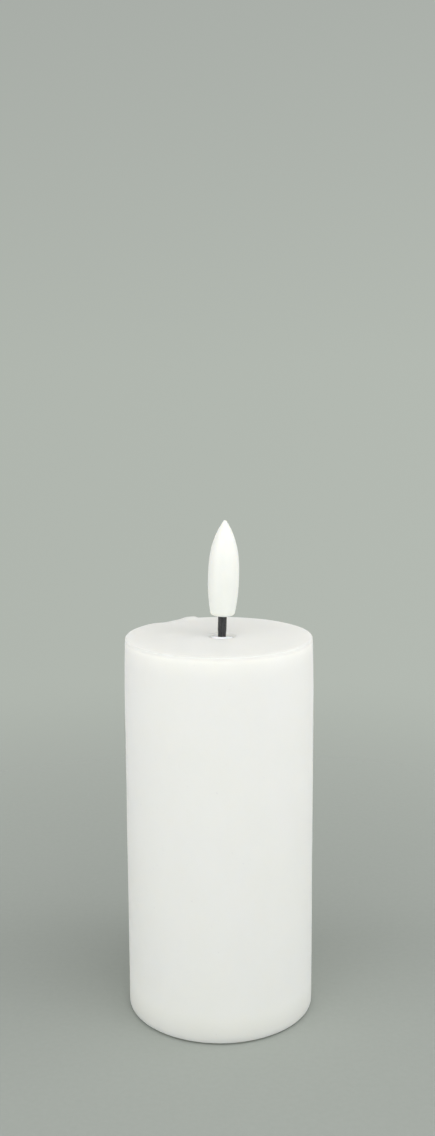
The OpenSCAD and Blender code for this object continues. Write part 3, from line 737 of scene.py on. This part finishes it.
# name: (place, size, watts), in metres
SOFTBOXES = {
    "softbox_left": ((-0.6, -0.45, 0.3), (0.7, 0.7), 2.15),
    "softbox_right": ((0.45, -0.52, 0.52), (0.8, 0.8), 0.83),
    "softbox_far_right": ((0.75, -0.1, 0.35), (0.8, 0.8), 1.77),
    "softbox_high": ((0.15, -0.5, 0.7), (1.2, 0.8), 3.0),
}
UNDER_DEPTH = 0.14
UNDER_SHARE = 0.95  # of the pillar's diameter
UNDER_WATTS = 0.065
UNDER_RIM_WATTS = 0.016
AMBIENT_LOW = 0.653
AMBIENT_HIGH = 0.47
AMBIENT_RISE = (0.0, 0.7)
AMBIENT_TINT = (1, 1, 0.98)
BACKDROP_LOW = (0.445, 0.479, 0.435)
BACKDROP_HIGH = (0.402, 0.429, 0.397)
BACKDROP_RISE = 0.27
BACKDROP_SIDE = 0.12  # share that it gains towards the right


def world():
    """Studio light from all round, weaker from above. The camera sees a backdrop colour in its place, a
    little darker upwards."""
    made = bpy.data.worlds.new("studio")
    made.use_nodes = True
    tree = made.node_tree
    tree.nodes.clear()
    link = tree.links.new
    direction = tree.nodes.new("ShaderNodeTexCoord")
    parts = tree.nodes.new("ShaderNodeSeparateXYZ")
    ramp, light_ramp = (tree.nodes.new("ShaderNodeValToRGB") for _ in range(2))
    lit, seen = (tree.nodes.new("ShaderNodeBackground") for _ in range(2))
    path = tree.nodes.new("ShaderNodeLightPath")
    blend = tree.nodes.new("ShaderNodeMixShader")
    out = tree.nodes.new("ShaderNodeOutputWorld")
    link(direction.outputs["Generated"], parts.inputs["Vector"])
    link(parts.outputs["Z"], ramp.inputs["Fac"])
    low, high = ramp.color_ramp.elements
    low.position, low.color = 0.0, (*BACKDROP_LOW, 1)
    high.position, high.color = BACKDROP_RISE, (*BACKDROP_HIGH, 1)
    link(ramp.outputs["Color"], seen.inputs["Color"])
    side = tree.nodes.new("ShaderNodeMath")
    side.operation = "MULTIPLY_ADD"
    link(parts.outputs["X"], side.inputs[0])
    side.inputs[1].default_value, side.inputs[2].default_value = BACKDROP_SIDE, 1
    link(side.outputs["Value"], seen.inputs["Strength"])
    link(parts.outputs["Z"], light_ramp.inputs["Fac"])
    link(light_ramp.outputs["Color"], lit.inputs["Color"])
    low, high = light_ramp.color_ramp.elements
    low.position, low.color = AMBIENT_RISE[0], (*[AMBIENT_LOW * c for c in AMBIENT_TINT], 1)
    high.position, high.color = AMBIENT_RISE[1], (*[AMBIENT_HIGH * c for c in AMBIENT_TINT], 1)
    link(path.outputs["Is Camera Ray"], blend.inputs[0])
    link(lit.outputs["Background"], blend.inputs[1])
    link(seen.outputs["Background"], blend.inputs[2])
    link(blend.outputs["Shader"], out.inputs["Surface"])
    bpy.context.scene.world = made


def link_state(name, state, *pieces):
    """A light-linking collection that says whether a light takes in the pieces, or leaves them out."""
    linked = bpy.data.collections.new(name)
    for piece in pieces:
        linked.objects.link(piece)
    for entry in linked.collection_objects:
        entry.light_linking.link_state = state
    return linked


def under_lights(floor):
    """Round lights straight below, a little narrower than the candle, so that they light its underside and
    don't fall on its sides. The floor doesn't stop them. The rim's own is weak, because the wax passes it on
    to the floor."""
    rim = [bpy.data.objects[name] for name in ("wax_pillar", "foot")]
    across = UNDER_SHARE * 2 * PILLAR_R
    lights = (("under_light", UNDER_WATTS, "EXCLUDE"), ("under_rim_light", UNDER_RIM_WATTS, "INCLUDE"))
    for name, watts, state in lights:
        light = softbox(name, (0, 0, -UNDER_DEPTH), (0, 0, 0), (across, across), watts)
        light.data.shape = "DISK"
        light.light_linking.blocker_collection = link_state(name + "_passes", "EXCLUDE", floor)
        light.light_linking.receiver_collection = link_state(name + "_reaches", state, *rim)


def stage():
    floor = disc("floor", FADE_TO)
    paint(floor, floor_paper())
    world()
    for name, (place, size, watts) in SOFTBOXES.items():
        softbox(name, place, LIGHT_AIM, size, watts)
    under_lights(floor)


CAMERA_AT = (0, -314.1 * MM, 172.3 * MM)
CAMERA_TURN = 0.045  # degrees to the left
CAMERA_DOWN = 9.443  # degrees below level
CAMERA_ROLL = -0.296  # degrees anticlockwise
LENS = 38.73


def camera():
    data = bpy.data.cameras.new("camera")
    data.sensor_width = 36
    data.lens = LENS
    data.clip_start = 0.01
    made = bpy.data.objects.new("camera", data)
    tilt = Matrix.Rotation(math.radians(90 - CAMERA_DOWN), 4, "X")
    turn, roll = (Matrix.Rotation(math.radians(angle), 4, "Z") for angle in (CAMERA_TURN, CAMERA_ROLL))
    made.matrix_world = Matrix.Translation(CAMERA_AT) @ turn @ tilt @ roll
    bpy.context.scene.collection.objects.link(made)
    bpy.context.scene.camera = made


bpy.context.scene.view_settings.view_transform = "Standard"
dress()
stage()
camera()
